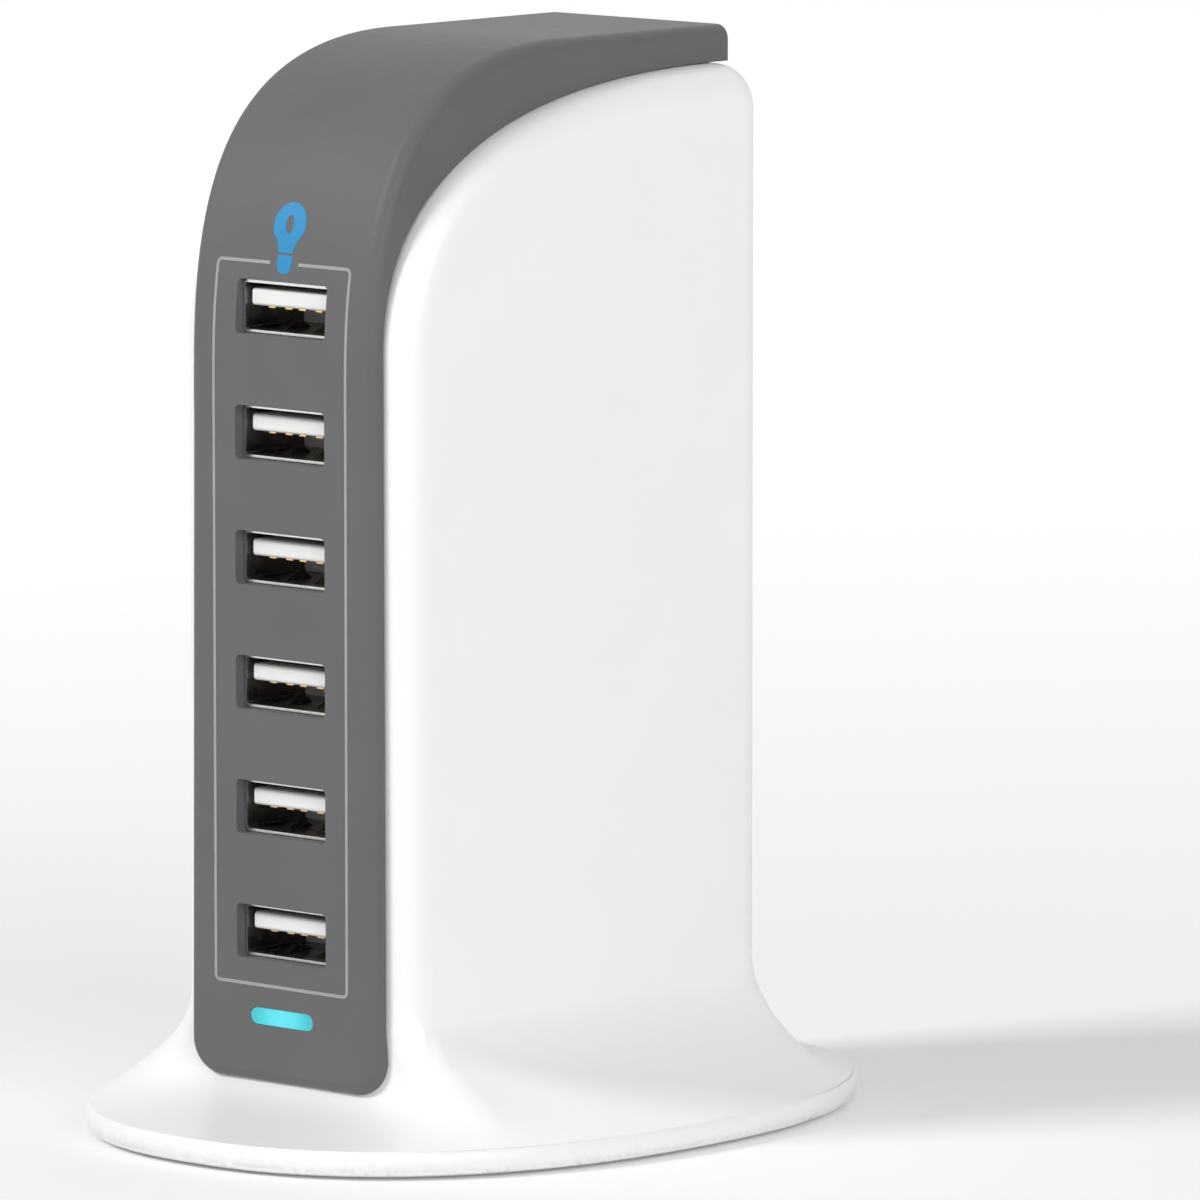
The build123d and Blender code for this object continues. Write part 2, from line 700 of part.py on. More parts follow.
def make_receptacles():
    """Shell, insulator and contacts of every port."""
    nodes = {}
    for n, level in enumerate(PORT_LEVELS, 1):
        nodes[f"port_{n}_shell"] = make_shell(level)
        nodes[f"port_{n}_tongue"] = make_tongue(level)
        nodes[f"port_{n}_contacts"] = make_contacts(level)
    return nodes


def make_board_parts():
    """Parts soldered to the power board."""
    return {
        "transformer_core": make_transformer_core(),
        "transformer_coil": make_transformer_coil(),
        "filter_choke": make_filter_choke(),
        "fuse": make_fuse(),
        "filter_capacitor": on_board(19.8, 29.3, 1.5, 8.0, 0.0, 11.0),
        "bridge_rectifier": on_board(16.6, 24.1, 11.0, 17.0, 0.0, 3.0),
        "input_capacitors": [can_on_board(30.2, z, 5.0, 18.0) for z in (15.5, 27.0)],
        "output_capacitors": [can_on_board(y, 56.0, 4.0, 14.0) for y in (12.3, 21.3)],
        "safety_capacitor": make_safety_capacitor(),
        "switch_sink": on_board(32.8, 34.3, 34.0, 47.0, 0.0, 17.3),
        "switch_transistor": on_board(28.6, 32.8, 35.5, 45.5, 1.3, 16.3),
        "output_sink": on_board(32.8, 34.3, 48.5, 60.5, 0.0, 17.3),
        "output_rectifier": on_board(28.6, 32.8, 49.5, 59.5, 1.3, 16.3),
        "feedback_coupler": on_board(5.8, 12.3, 46.0, 50.6, 0.0, 3.5),
        "link_header": on_board(0.0, 2.5, 45.0, 53.0, 0.0, 2.5),
        "link_pins": make_link_pins(),
    }


def make_nodes():
    """Every separate piece under its own name."""
    nodes = {"housing": make_housing(), "front_band": make_front_band()}
    nodes["base_cover"] = make_base_cover()
    nodes["feet"] = make_feet()
    nodes["cover_screws"] = make_cover_screws()
    nodes["light_pipe"] = make_light_pipe()
    nodes["lamp"] = make_lamp()
    nodes["port_board"] = make_port_board()
    nodes["power_board"] = make_power_board()
    nodes["board_screws"] = make_board_screws()
    nodes["inlet_body"] = make_inlet()
    nodes["inlet_pins"] = make_inlet_pins()
    nodes["inlet_leads"] = make_leads()
    nodes.update(make_receptacles())
    nodes.update(make_board_parts())
    return nodes


os.makedirs("parts", exist_ok=True)
for name, shape in make_nodes().items():
    pieces = shape if isinstance(shape, list) else [shape]
    solids = [solid for piece in pieces for solid in piece.solids()]
    export_step(solids[0] if len(solids) == 1 else Compound(solids), f"parts/{name}.step")
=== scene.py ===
import json
from math import atan2, cos, pi, sin

import bmesh
import bpy
import numpy as np
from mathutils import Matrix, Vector
from mathutils.bvhtree import BVHTree


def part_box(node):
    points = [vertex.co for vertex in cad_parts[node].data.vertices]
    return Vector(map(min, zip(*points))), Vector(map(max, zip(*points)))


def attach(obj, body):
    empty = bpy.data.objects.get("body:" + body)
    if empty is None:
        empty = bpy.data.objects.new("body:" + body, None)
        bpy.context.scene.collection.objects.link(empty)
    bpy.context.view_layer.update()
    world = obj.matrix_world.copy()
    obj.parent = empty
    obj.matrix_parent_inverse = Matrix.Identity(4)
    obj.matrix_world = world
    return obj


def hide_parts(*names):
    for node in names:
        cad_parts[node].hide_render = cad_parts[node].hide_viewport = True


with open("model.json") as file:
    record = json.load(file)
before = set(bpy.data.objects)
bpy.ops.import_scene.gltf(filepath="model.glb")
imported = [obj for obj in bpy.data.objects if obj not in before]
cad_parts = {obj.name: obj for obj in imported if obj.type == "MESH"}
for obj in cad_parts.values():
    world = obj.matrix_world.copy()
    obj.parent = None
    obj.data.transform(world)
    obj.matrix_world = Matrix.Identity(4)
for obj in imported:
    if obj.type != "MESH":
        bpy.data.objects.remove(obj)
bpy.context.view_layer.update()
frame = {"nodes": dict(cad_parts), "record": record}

# Charging tower: finishes, the shapes of the foot and the band that show, and the print. Metres, row frame.

scene = bpy.context.scene
scene.view_settings.view_transform = "Standard"

MM = 0.001

# Camera: where it stands, the way it looks and its lens
EYE = Vector((0.8804, -0.9570, 0.2264))
LOOK = Vector((-0.66354, 0.73694, -0.12897))
LENS = 356.9
SENSOR = 36.0

# Print on the band, as (X, Z) sizes in millimetres
LINE_HALF = 9.8
LINE_LOW = 17.75
LINE_HIGH = 96.8
LINE_WIDTH = 0.36
LINE_CORNER = 0.6
LINE_BREAK = 2.1
SIGN_CENTRE = 101.0
SIGN_RADIUS = 2.35
SIGN_NECK = 1.08
SIGN_NECK_END = 97.9
SIGN_CAP_TOP = 97.7
SIGN_CAP_END = 95.7
HOLE_HALF = 0.55
HOLE_RISE = 1.0
SIGN_WAIST = 0.45
SIGN_STEPS = 72
CAP_STEPS = 12
PRINT_LIFT = 0.04
PRINT_SINK = 0.03

# Flared foot as packed and as it shows: start, rim top, underside, half sizes of the oval, nose of the rim
BODY_HALF = (17.4, 29.0)
BODY_EDGE = 3.6
OVAL_BREAKS = (0.0, 0.62, 0.95, pi / 2)
OVAL_POWER = 2.3
PACKED = {"top": 15.0, "rim": 2.9, "low": 0.5, "oval": (36.0, 47.0)}
SHOWN = {"top": 17.0, "rim": 3.2, "low": 0.2, "oval": (35.5, 46.5)}
PACKED_NOSE = ((0.0, 0.8), (0.23, 0.1), (0.5, 0.0), (0.77, 0.08), (1.0, 0.5))
SHOWN_NOSE = ((0.0, 2.0), (0.12, 0.7), (0.3, 0.2), (0.55, 0.0), (0.78, 0.08), (1.0, 0.5))
SIDE_POWER = 2.4
FRONT_POWER = 8.0
ROUND_POWER = 5.0
FLARE_CUTS = (15.5, 16.0, 16.5, 17.0)

# Share of the reach at which the foot starts to move, and the span over which it takes the whole move
MOVE_START = 0.8
MOVE_SPAN = 0.17

# Bend of the band as packed and as it shows, as (Y, Z) control points
PACKED_BEND = ((-31.0, 78.9), (-31.0, 96.1), (-30.5, 120.0), (0.0, 120.0))
SHOWN_BEND = ((-31.0, 85.0), (-31.0, 103.1), (-26.4, 120.0), (0.0, 120.0))

# Depth under the bend that takes the whole move, and depth that takes none
BEND_WHOLE = 3.0
BEND_NONE = 7.0

# Lower corners of the band as packed and as they show: half width, underside, radius
PACKED_END = (13.7, 7.0, 4.7)
SHOWN_END = (14.1, 6.95, 4.0)
END_STEADY = 6.0
END_TOP = 16.0

# Points nearer than this are one, in metres, and the step that finds a moved normal, in millimetres
MERGE = 1e-7
NORMAL_STEP = 0.1

# Front edge of the receptacles, depth over which their insides are painted into shade, half length of the light bar
SHELL_FRONT = -29.7
SHELL_SHADE_DEPTH = 3.0
LIGHT_HALF = 4.7
GRAIN_DEPTH = 0.00005

# Colours, linear
WHITE = (0.9, 0.9, 0.895)
GREY = (0.128, 0.128, 0.131)
LINE_GREY = (0.33, 0.33, 0.33)
SIGN_BLUE = (0.008, 0.235, 0.5)

# Glow of the floor where it is seen, as (distance, strength), and light of the world
FLOOR_NEAR = (0.1, 0.14)
FLOOR_FAR = (0.8, 0.5)
WORLD_LIGHT = 0.4

# Lamps: name, place, size, power
LAMPS = (
    ("key", (-0.8, -1.6, 1.4), 0.5, 25.0),
    ("fill", (1.8, -0.7, 0.6), 1.4, 19.0),
    ("top", (0.0, 0.4, 2.2), 1.6, 2.0),
)


def material(name):
    """New node material and its shader."""
    made = bpy.data.materials.new(name)
    made.use_nodes = True
    return made, made.node_tree.nodes["Principled BSDF"]


def noise(tree, scale, detail, stretch=(1, 1, 1)):
    """Noise over the piece's own place, in metres."""
    place = tree.nodes.new("ShaderNodeTexCoord")
    shape = tree.nodes.new("ShaderNodeMapping")
    shape.inputs["Scale"].default_value = stretch
    spots = tree.nodes.new("ShaderNodeTexNoise")
    spots.inputs["Scale"].default_value = scale
    spots.inputs["Detail"].default_value = detail
    tree.links.new(place.outputs["Object"], shape.inputs["Vector"])
    tree.links.new(shape.outputs["Vector"], spots.inputs["Vector"])
    return spots.outputs["Fac"]


def between(tree, value, low, high):
    """Map a 0 to 1 value to a range."""
    node = tree.nodes.new("ShaderNodeMapRange")
    node.inputs["To Min"].default_value = low
    node.inputs["To Max"].default_value = high
    tree.links.new(value, node.inputs["Value"])
    return node.outputs["Result"]


def ramp(tree, value, stops):
    """Colour ramp of (place, colour) stops."""
    node = tree.nodes.new("ShaderNodeValToRGB")
    places = node.color_ramp.elements
    while len(places) < len(stops):
        places.new(0.5)
    for element, (place, colour) in zip(places, stops):
        element.position = place
        element.color = (*colour, 1.0)
    tree.links.new(value, node.inputs["Fac"])
    return node.outputs["Color"]


def shade(colour, factor):
    """The same colour, lighter or darker."""
    return tuple(min(1.0, c * factor) for c in colour)


def grain_bump(tree, shader, scale, strength, depth, stretch=(1, 1, 1)):
    """Fine relief of the surface."""
    node = tree.nodes.new("ShaderNodeBump")
    node.inputs["Strength"].default_value = strength
    node.inputs["Distance"].default_value = depth
    tree.links.new(noise(tree, scale, 3.0, stretch), node.inputs["Height"])
    tree.links.new(node.outputs["Normal"], shader.inputs["Normal"])


def own_place(tree, axis):
    """Place on the piece along one axis, in metres."""
    place = tree.nodes.new("ShaderNodeTexCoord")
    parts = tree.nodes.new("ShaderNodeSeparateXYZ")
    tree.links.new(place.outputs["Object"], parts.inputs["Vector"])
    return parts.outputs[axis]


def finish(
    name, colour, rough, swing=0.03, cloud=60.0, grain=1600.0, relief=0.12, metal=0.0, stretch=(1, 1, 1), sheen=0.5
):
    """Moulded, metal or coated surface: cloudy colour, uneven gloss and fine grain."""
    made, shader = material(name)
    tree = made.node_tree
    shader.inputs["Metallic"].default_value = metal
    shader.inputs["Specular IOR Level"].default_value = sheen
    stops = [(0.3, shade(colour, 1 - swing)), (0.7, shade(colour, 1 + swing))]
    tree.links.new(ramp(tree, noise(tree, cloud, 2.0, stretch), stops), shader.inputs["Base Color"])
    gloss = noise(tree, grain / 4, 4.0, stretch)
    tree.links.new(between(tree, gloss, rough[0], rough[1]), shader.inputs["Roughness"])
    grain_bump(tree, shader, grain, relief, GRAIN_DEPTH, stretch)
    return made


def light_finish():
    """Lit light bar: pale in the middle, deeper towards both ends."""
    made, shader = material("light_bar")
    tree = made.node_tree
    size = tree.nodes.new("ShaderNodeMath")
    size.operation = "ABSOLUTE"
    reach = tree.nodes.new("ShaderNodeMapRange")
    reach.inputs["From Max"].default_value = LIGHT_HALF * MM
    tree.links.new(own_place(tree, "X"), size.inputs[0])
    tree.links.new(size.outputs[0], reach.inputs["Value"])
    stops = [
        (0.0, (0.11, 0.72, 0.84)),
        (0.45, (0.06, 0.63, 0.74)),
        (0.75, (0.02, 0.47, 0.54)),
        (1.0, (0.02, 0.4, 0.46)),
    ]
    glow = ramp(tree, reach.outputs["Result"], stops)
    tree.links.new(glow, shader.inputs["Emission Color"])
    shader.inputs["Emission Strength"].default_value = 0.85
    cloudy = [(0.3, (0.03, 0.16, 0.18)), (0.7, (0.04, 0.19, 0.21))]
    tree.links.new(ramp(tree, noise(tree, 900.0, 2.0), cloudy), shader.inputs["Base Color"])
    tree.links.new(between(tree, noise(tree, 500.0, 3.0), 0.3, 0.42), shader.inputs["Roughness"])
    grain_bump(tree, shader, 1800.0, 0.06, GRAIN_DEPTH)
    return made


def glass_finish():
    """Clear tube with faint streaks."""
    made, shader = material("fuse_glass")
    tree = made.node_tree
    shader.inputs["Transmission Weight"].default_value = 0.85
    stops = [(0.3, (0.80, 0.84, 0.82)), (0.7, (0.88, 0.9, 0.89))]
    tree.links.new(ramp(tree, noise(tree, 300.0, 2.0), stops), shader.inputs["Base Color"])
    tree.links.new(between(tree, noise(tree, 600.0, 2.0), 0.05, 0.15), shader.inputs["Roughness"])
    grain_bump(tree, shader, 500.0, 0.03, GRAIN_DEPTH)
    return made


def shell_painted_shade_finish():
    """Plated steel of a receptacle with painted shade: bright at the mouth, painted darker deeper inside where shade
    falls.
    """
    made, shader = material("port_shell")
    tree = made.node_tree
    shader.inputs["Metallic"].default_value = 1.0
    depth = tree.nodes.new("ShaderNodeMapRange")
    depth.inputs["From Min"].default_value = SHELL_FRONT * MM
    depth.inputs["From Max"].default_value = (SHELL_FRONT + SHELL_SHADE_DEPTH) * MM
    tree.links.new(own_place(tree, "Y"), depth.inputs["Value"])
    # Painted shade: the steel's colour runs from bright at the mouth to near black a few millimetres in, standing in
    # for the shade inside the receptacle.
    stops = [(0.0, (0.66, 0.65, 0.63)), (0.12, (0.34, 0.33, 0.31)), (1.0, (0.13, 0.125, 0.115))]
    tree.links.new(ramp(tree, depth.outputs["Result"], stops), shader.inputs["Base Color"])
    tree.links.new(between(tree, noise(tree, 375.0, 4.0), 0.2, 0.34), shader.inputs["Roughness"])
    grain_bump(tree, shader, 1500.0, 0.1, GRAIN_DEPTH, (1, 0.08, 1))
    return made


def make_finishes():
    """One material for each slot of the record."""
    drawn = (1, 0.08, 1)
    return {
        "white_shell": finish("white_shell", WHITE, (0.34, 0.44), swing=0.008, grain=2400.0, relief=0.05),
        "grey_band": finish("grey_band", GREY, (0.46, 0.56), 0.03, 90.0, 2600.0, 0.08, sheen=0.22),
        "rubber_foot": finish("rubber_foot", (0.022, 0.022, 0.022), (0.75, 0.9), grain=1200.0, relief=0.3),
        "steel_screw": finish("steel_screw", (0.5, 0.5, 0.51), (0.28, 0.42), metal=1.0, relief=0.1),
        "port_shell": shell_painted_shade_finish(),
        "port_tongue": finish("port_tongue", (0.84, 0.84, 0.83), (0.35, 0.45), swing=0.012, relief=0.04),
        "gold_contact": finish("gold_contact", (0.75, 0.52, 0.22), (0.2, 0.32), 0.06, 400.0, 1500.0, 0.08, 1.0, drawn),
        "inlet_pin": finish("inlet_pin", (0.66, 0.66, 0.67), (0.15, 0.28), 0.05, 400.0, 1500.0, 0.08, 1.0, drawn),
        "light_bar": light_finish(),
        "board": finish("board", (0.02, 0.12, 0.045), (0.3, 0.45), swing=0.12, cloud=250.0, relief=0.1),
        "black_plastic": finish("black_plastic", (0.022, 0.022, 0.023), (0.42, 0.55), swing=0.08, relief=0.15),
        "ferrite": finish("ferrite", (0.05, 0.05, 0.052), (0.6, 0.8), swing=0.15, cloud=500.0, relief=0.3),
        "winding_tape": finish("winding_tape", (0.66, 0.44, 0.04), (0.25, 0.4), swing=0.06, cloud=200.0),
        "choke_winding": finish("choke_winding", (0.5, 0.19, 0.07), (0.25, 0.4), 0.1, 700.0, 2500.0, 0.5, 0.8),
        "capacitor_sleeve": finish("capacitor_sleeve", (0.025, 0.03, 0.08), (0.18, 0.3), swing=0.08),
        "film_capacitor": finish("film_capacitor", (0.6, 0.45, 0.05), (0.35, 0.5), swing=0.06),
        "disc_capacitor": finish("disc_capacitor", (0.04, 0.11, 0.35), (0.3, 0.45), swing=0.08),
        "fuse_glass": glass_finish(),
        "heat_sink": finish("heat_sink", (0.6, 0.6, 0.61), (0.3, 0.45), 0.05, 300.0, 1500.0, 0.15, 1.0, (1, 1, 0.06)),
        "lead": finish("lead", (0.03, 0.03, 0.03), (0.5, 0.65), swing=0.1, relief=0.12),
    }


def dress_nodes():
    """Every CAD node, and the two pieces that stand for one, take the finish of their slot."""
    finishes = make_finishes()
    for part in frame["record"]["subparts"]:
        node = frame["nodes"][part["node"]]
        for slot in node.material_slots:
            slot.material = finishes[part["material_slot"]]
    housing.data.materials.append(finishes["white_shell"])
    band.data.materials.append(finishes["grey_band"])


def unit(vectors):
    """Vectors of length one."""
    return vectors / np.maximum(np.linalg.norm(vectors, axis=1, keepdims=True), 1e-12)


def ease(value):
    """Smooth rise from 0 to 1."""
    place = np.clip(value, 0, 1)
    return place * place * (3 - 2 * place)


def reshape(name, field, cuts=()):
    """Piece that stands for a node, with its points and normals carried through a change of shape."""
    packed = frame["nodes"][name].data
    turns = [corner.vector.copy() for corner in packed.corner_normals]
    work = bmesh.new()
    work.from_mesh(packed)
    kept = work.loops.layers.float_vector.new("kept_normal")
    corners = [loop for face in work.faces for loop in face.loops]
    for loop, turn in zip(corners, turns):
        loop[kept] = turn
    bmesh.ops.remove_doubles(work, verts=work.verts, dist=MERGE)
    for level in cuts:
        everything = work.verts[:] + work.edges[:] + work.faces[:]
        bmesh.ops.bisect_plane(
            work, geom=everything, dist=MERGE, plane_co=(0, 0, level * MM), plane_no=(0, 0, 1)
        )
    places = np.array([loop.vert.co for face in work.faces for loop in face.loops]) / MM
    normals = unit(np.array([loop[kept] for face in work.faces for loop in face.loops]))
    across = unit(np.cross(normals, (0.31, 0.53, 0.79)))
    along = np.cross(normals, across)
    moved = field(places)
    across = field(places + NORMAL_STEP * across) - moved
    along = field(places + NORMAL_STEP * along) - moved
    normals = np.cross(across, along)
    for vert, place in zip(work.verts, field(np.array([v.co for v in work.verts]) / MM)):
        vert.co = place * MM
    mesh = bpy.data.meshes.new(name + "_shaped")
    work.to_mesh(mesh)
    work.free()
    for spare in ("kept_normal", "custom_normal"):
        if spare in mesh.attributes:
            mesh.attributes.remove(mesh.attributes[spare])
    mesh.shade_smooth()
    mesh.normals_split_custom_set(unit(normals))
    piece = bpy.data.objects.new(name + "_shaped", mesh)
    scene.collection.objects.link(piece)
    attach(piece, "root")
    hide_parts(name)
    return piece


def quarter_outlines(count):
    """First quarter of the body outline and of the oval, the latter as shares of its half sizes."""
    half, depth = BODY_HALF
    part = np.linspace(0, 1, count)
    angle = np.concatenate([a + part * (b - a) for a, b in zip(OVAL_BREAKS, OVAL_BREAKS[1:])])
    turn = part * pi / 2
    flat = half - BODY_EDGE
    x = np.concatenate([0 * part + half, flat + BODY_EDGE * np.cos(turn), (1 - part) * flat])
    long = depth - BODY_EDGE
    y = np.concatenate([part * long, long + BODY_EDGE * np.sin(turn), 0 * part + depth])
    oval = np.maximum(np.cos(angle), 0) ** (2 / OVAL_POWER), np.sin(angle) ** (2 / OVAL_POWER)
    return x, y, *oval


def shown_level(level):
    """Level at which a packed level of the foot shows."""
    places = (PACKED["low"], PACKED["rim"], PACKED["top"])
    return np.interp(level, places, (SHOWN["low"], SHOWN["rim"], PACKED["top"]))


def flare_section(level, kind):
    """Outline of the foot at a packed level: as packed, or as it shows."""
    x, y, share_x, share_y = quarter_outlines(60)
    wide, deep = kind["oval"]
    nose = PACKED_NOSE if kind is PACKED else SHOWN_NOSE
    if level < PACKED["rim"]:
        place = (level - PACKED["low"]) / (PACKED["rim"] - PACKED["low"])
        inset = np.interp(place, *zip(*nose))
        return share_x * (wide - inset), share_y * (deep - inset)
    wide -= nose[-1][1]
    deep -= nose[-1][1]
    drop = max(0.0, (PACKED["top"] - level) / (PACKED["top"] - PACKED["rim"]))
    front = y + (share_y * deep - y) * drop ** FRONT_POWER
    if kind is PACKED:
        return x + (share_x * wide - x) * drop ** SIDE_POWER, front
    half = BODY_HALF[0]
    height = shown_level(level) if level < PACKED["top"] else level
    drop = max(0.0, (kind["top"] - height) / (kind["top"] - kind["rim"]))
    share = x / half + (share_x - x / half) * drop ** ROUND_POWER
    return (half + (wide - half) * drop ** SIDE_POWER) * share, front


FLARE_LEVELS = np.linspace(PACKED["low"], SHOWN["top"], 166)
FLARE_ANGLES = np.linspace(0, pi / 2, 181)


def flare_reach(kind):
    """Reach of the foot from its axis, by level and by angle."""
    rows = []
    for level in FLARE_LEVELS:
        x, y = flare_section(level, kind)
        rows.append(np.interp(FLARE_ANGLES, np.arctan2(y, x), np.hypot(x, y)))
    return np.array(rows)


def look_up(table, level, angle):
    """Value of a table between its levels and angles."""
    row = (level - FLARE_LEVELS[0]) / (FLARE_LEVELS[1] - FLARE_LEVELS[0])
    row = np.clip(row, 0, len(FLARE_LEVELS) - 1.001)
    col = np.clip(angle / FLARE_ANGLES[1], 0, len(FLARE_ANGLES) - 1.001)
    r, c = row.astype(int), col.astype(int)
    low = table[r, c] + (table[r, c + 1] - table[r, c]) * (col - c)
    high = table[r + 1, c] + (table[r + 1, c + 1] - table[r + 1, c]) * (col - c)
    return low + (high - low) * (row - r)


REACH_PACKED = flare_reach(PACKED)
REACH_SHOWN = flare_reach(SHOWN)


def foot_field(points):
    """Foot of the housing, whose corners sweep out from higher up and whose rim comes nearer the ground."""
    x, y, z = points.T
    angle = np.arctan2(np.abs(y), np.abs(x))
    packed = look_up(REACH_PACKED, z, angle)
    shown = look_up(REACH_SHOWN, z, angle)
    weight = ease((np.hypot(x, y) / packed - MOVE_START) / MOVE_SPAN)
    grow = np.where(z < SHOWN["top"], 1 + (shown / packed - 1) * weight, 1.0)
    level = np.where(z < PACKED["top"], shown_level(z), z)
    return np.stack([x * grow, y * grow, level], 1)


def bezier(points, part):
    """Points of a cubic curve, and its tangents."""
    a, b, c, d = np.array(points)
    s = part[:, None]
    place = a * (1 - s) ** 3 + 3 * b * s * (1 - s) ** 2 + 3 * c * s * s * (1 - s) + d * s ** 3
    return place, unit(3 * ((b - a) * (1 - s) ** 2 + 2 * (c - b) * s * (1 - s) + (d - c) * s * s))


BEND_PARTS = np.linspace(0, 1, 300)
BEND_PLACES, BEND_TURNS = bezier(PACKED_BEND, BEND_PARTS)
BEND_NORMALS = np.stack([-BEND_TURNS[:, 1], BEND_TURNS[:, 0]], 1)


def bend_rise():
    """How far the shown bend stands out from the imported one, along it."""
    shown, _ = bezier(SHOWN_BEND, np.linspace(0, 1, 1500))
    rise = []
    for place, turn, normal in zip(BEND_PLACES, BEND_TURNS, BEND_NORMALS):
        away = shown - place
        rise.append(away[np.argmin(np.abs(away @ turn) + 0.01 * np.abs(away @ normal))] @ normal)
    return np.array(rise)


BEND_RISE = bend_rise()


def band_field(points):
    """Band with the bend that shows and the tighter, wider lower corners."""
    x, y, z = points.T
    away = points[:, None, 1:] - BEND_PLACES[None]
    near = np.argmin((away ** 2).sum(2), axis=1)
    inset = np.abs((away[np.arange(len(near)), near] * BEND_NORMALS[near]).sum(1))
    weight = np.clip((BEND_NONE - inset) / (BEND_NONE - BEND_WHOLE), 0, 1) * BEND_RISE[near]
    half, low, radius = PACKED_END
    new_half, new_low, new_radius = SHOWN_END
    fade = ease((END_TOP - z) / (END_TOP - low - radius))
    stops = (0.0, END_STEADY, half - radius, half)
    new_x = np.interp(np.abs(x), stops, (0.0, END_STEADY, new_half - new_radius, new_half))
    new_z = np.interp(z, (low, low + radius, END_TOP), (new_low, new_low + new_radius, END_TOP))
    corner = np.clip((np.abs(x) - END_STEADY) / (half - radius - END_STEADY), 0, 1)
    wide = np.sign(x) * (np.abs(x) + (new_x - np.abs(x)) * fade)
    level = z + np.where(z < END_TOP, (new_z - z) * np.where(z > low + radius, corner, 1.0), 0.0)
    return np.stack([wide, y + weight * BEND_NORMALS[near, 0], level + weight * BEND_NORMALS[near, 1]], 1)


housing = reshape("housing", foot_field, FLARE_CUTS)
band = reshape("front_band", band_field)


def band_tree():
    """Search tree of the band's surface."""
    mesh = band.data
    return BVHTree.FromPolygons([v.co for v in mesh.vertices], [p.vertices for p in mesh.polygons])


BAND = band_tree()
BAND_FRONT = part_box("front_band")[0][1]


def on_band(x, z, lift):
    """Place on the band's outer face in front of (x, z) in millimetres, raised along its normal."""
    start = Vector((x * MM, BAND_FRONT - 0.02, z * MM))
    place, normal, _, _ = BAND.ray_cast(start, Vector((0, 1, 0)))
    return place + normal * lift * MM


def add_piece(name, vertices, faces, finish_made):
    """New piece on the root body."""
    mesh = bpy.data.meshes.new(name)
    mesh.from_pydata(vertices, [], faces)
    mesh.update()
    mesh.materials.append(finish_made)
    piece = bpy.data.objects.new(name, mesh)
    scene.collection.objects.link(piece)
    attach(piece, "root")
    return piece


def printed_strip(name, outer, inner, closed, finish_made):
    """Thin layer of ink between two rows of (x, z) points, following the band."""
    rows = []
    edges = ((outer, PRINT_LIFT), (inner, PRINT_LIFT), (inner, -PRINT_SINK), (outer, -PRINT_SINK))
    for points, lift in edges:
        rows.append([on_band(x, z, lift) for x, z in points])
    count = len(outer)
    vertices = [point for row in rows for point in row]
    faces = []
    for n in range(count if closed else count - 1):
        after = (n + 1) % count
        for side in range(4):
            beside = (side + 1) % 4
            faces.append((side * count + n, side * count + after, beside * count + after, beside * count + n))
    if not closed:
        faces.append((0, count, 2 * count, 3 * count))
        faces.append((4 * count - 1, 3 * count - 1, 2 * count - 1, count - 1))
    return add_piece(name, vertices, faces, finish_made)


def stretch(start, end, step):
    """Points from start towards end, at most a step apart, without the end."""
    length = (Vector(end) - Vector(start)).length
    count = max(1, round(length / step))
    return [tuple(Vector(start).lerp(Vector(end), n / count)) for n in range(count)]


def line_path(grow):
    """Frame line from one side of its break round to the other, grown outwards."""
    half = LINE_HALF + grow
    low = LINE_LOW - grow
    high = LINE_HIGH + grow
    radius = LINE_CORNER + grow
    points = stretch((-LINE_BREAK, high), (-half + radius, high), 1.0)
    corners = ((-half, high, 90), (-half, low, 180), (half, low, 270), (half, high, 360))
    for n, (x, z, turn) in enumerate(corners):
        centre_x = x - radius * (1 if x > 0 else -1)
        centre_z = z - radius * (1 if z > LINE_LOW + 1 else -1)
        arc = [pi * (turn + 15 * k) / 180 for k in range(7)]
        corner = [(centre_x + radius * cos(a), centre_z + radius * sin(a)) for a in arc]
        if n:
            points += stretch(points.pop(), corner[0], 1.0)
        points += corner
    points += stretch(points.pop(), (LINE_BREAK, high), 1.0)
    return points + [(LINE_BREAK, high)]


def add_frame_line():
    """Pale line round the ports, open at the top around the lamp sign."""
    ink = finish("line_ink", LINE_GREY, (0.4, 0.5), swing=0.04, cloud=500.0)
    printed_strip("frame_line", line_path(LINE_WIDTH / 2), line_path(-LINE_WIDTH / 2), False, ink)


def sign_outline(angle):
    """Outer edge of the lamp sign: round bulb that narrows to its neck."""
    x = SIGN_RADIUS * cos(angle)
    z = SIGN_CENTRE + SIGN_RADIUS * sin(angle)
    waist = SIGN_CENTRE - SIGN_WAIST * SIGN_RADIUS
    if z > waist:
        return x, z
    fall = (waist - z) / (waist - SIGN_CENTRE + SIGN_RADIUS)
    edge = SIGN_RADIUS * (1 - SIGN_WAIST ** 2) ** 0.5
    half = SIGN_NECK + (edge - SIGN_NECK) * (1 - fall) ** 2
    limit = min(1.0, abs(x) / SIGN_NECK * 2)
    return (half if x > 0 else -half) * limit, waist + (SIGN_NECK_END - waist) * fall


def add_lamp_sign():
    """Blue lamp: a bulb with an open middle and a cap under it."""
    ink = finish("sign_ink", SIGN_BLUE, (0.38, 0.48), swing=0.05, cloud=500.0)
    angles = [2 * pi * n / SIGN_STEPS + pi / SIGN_STEPS for n in range(SIGN_STEPS)]
    outer = [sign_outline(a) for a in angles]
    inner = []
    for x, z in outer:
        turn = atan2(z - SIGN_CENTRE, x)
        inner.append((HOLE_HALF * cos(turn), SIGN_CENTRE + HOLE_RISE * sin(turn)))
    printed_strip("lamp_sign_bulb", outer, inner, True, ink)
    left = []
    right = []
    for n in range(CAP_STEPS + 1):
        drop = n / CAP_STEPS
        half = SIGN_NECK * (1 - max(0.0, drop - 0.35) ** 3 * 2.2)
        z = SIGN_CAP_TOP + (SIGN_CAP_END - SIGN_CAP_TOP) * drop
        left.append((-half, z))
        right.append((half, z))
    printed_strip("lamp_sign_cap", left, right, False, ink)


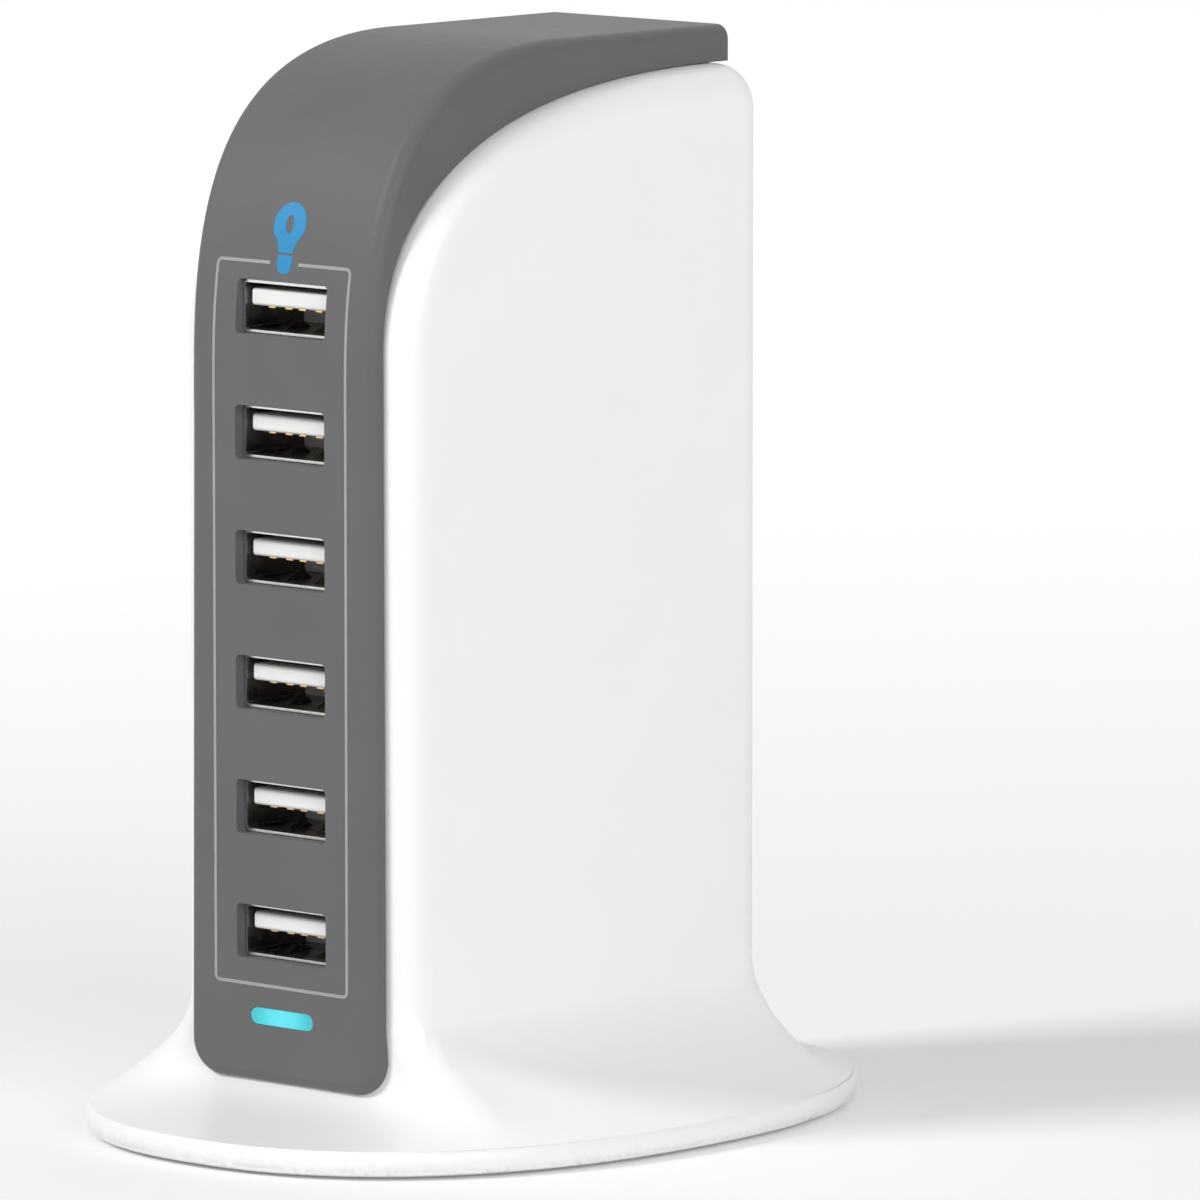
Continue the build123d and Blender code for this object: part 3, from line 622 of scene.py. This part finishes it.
def add_floor():
    """Pale floor that shows white to the camera and keeps the shadow."""
    bpy.ops.mesh.primitive_plane_add(size=12.0, location=(0, 0, 0))
    floor = bpy.context.object
    floor.name = "floor"
    made, shader = material("floor")
    tree = made.node_tree
    stops = [(0.3, (0.86, 0.86, 0.86)), (0.7, (0.88, 0.88, 0.88))]
    tree.links.new(ramp(tree, noise(tree, 3.0, 2.0), stops), shader.inputs["Base Color"])
    shader.inputs["Roughness"].default_value = 0.9
    shader.inputs["Specular IOR Level"].default_value = 0.1
    shader.inputs["Emission Color"].default_value = (1, 1, 1, 1)
    path = tree.nodes.new("ShaderNodeLightPath")
    seen = tree.nodes.new("ShaderNodeMath")
    seen.operation = "MAXIMUM"
    tree.links.new(path.outputs["Is Camera Ray"], seen.inputs[0])
    tree.links.new(path.outputs["Is Glossy Ray"], seen.inputs[1])
    place = tree.nodes.new("ShaderNodeTexCoord")
    away = tree.nodes.new("ShaderNodeVectorMath")
    away.operation = "LENGTH"
    tree.links.new(place.outputs["Object"], away.inputs[0])
    reach = tree.nodes.new("ShaderNodeMapRange")
    reach.inputs["From Min"].default_value, reach.inputs["To Min"].default_value = FLOOR_NEAR
    reach.inputs["From Max"].default_value, reach.inputs["To Max"].default_value = FLOOR_FAR
    tree.links.new(away.outputs["Value"], reach.inputs["Value"])
    glow = tree.nodes.new("ShaderNodeMath")
    glow.operation = "MULTIPLY"
    tree.links.new(seen.outputs[0], glow.inputs[0])
    tree.links.new(reach.outputs["Result"], glow.inputs[1])
    tree.links.new(glow.outputs[0], shader.inputs["Emission Strength"])
    floor.data.materials.append(made)


def add_world():
    """Even light from all round, white where it is seen."""
    world = bpy.data.worlds.new("studio")
    scene.world = world
    world.use_nodes = True
    tree = world.node_tree
    light = tree.nodes["Background"]
    light.inputs["Color"].default_value = (1, 1, 1, 1)
    path = tree.nodes.new("ShaderNodeLightPath")
    first = tree.nodes.new("ShaderNodeMath")
    first.operation = "MAXIMUM"
    seen = tree.nodes.new("ShaderNodeMath")
    seen.operation = "MAXIMUM"
    tree.links.new(path.outputs["Is Camera Ray"], first.inputs[0])
    tree.links.new(path.outputs["Is Glossy Ray"], first.inputs[1])
    tree.links.new(first.outputs[0], seen.inputs[0])
    tree.links.new(path.outputs["Is Transmission Ray"], seen.inputs[1])
    tree.links.new(between(tree, seen.outputs[0], WORLD_LIGHT, 1.0), light.inputs["Strength"])


def add_lamp(name, place, size, power):
    """Soft square lamp that faces the middle of the tower."""
    data = bpy.data.lights.new(name, "AREA")
    data.size = size
    data.energy = power
    lamp = bpy.data.objects.new(name, data)
    lamp.location = place
    lamp.rotation_euler = (Vector((0, 0, 0.06)) - lamp.location).to_track_quat("-Z", "Y").to_euler()
    scene.collection.objects.link(lamp)


def add_camera():
    """Camera at the photograph's angle."""
    data = bpy.data.cameras.new("camera")
    data.lens = LENS
    data.sensor_width = SENSOR
    camera = bpy.data.objects.new("camera", data)
    camera.location = EYE
    camera.rotation_euler = LOOK.to_track_quat("-Z", "Y").to_euler()
    scene.collection.objects.link(camera)
    scene.camera = camera


dress_nodes()
add_frame_line()
add_lamp_sign()
add_floor()
add_world()
for lamp in LAMPS:
    add_lamp(*lamp)
add_camera()
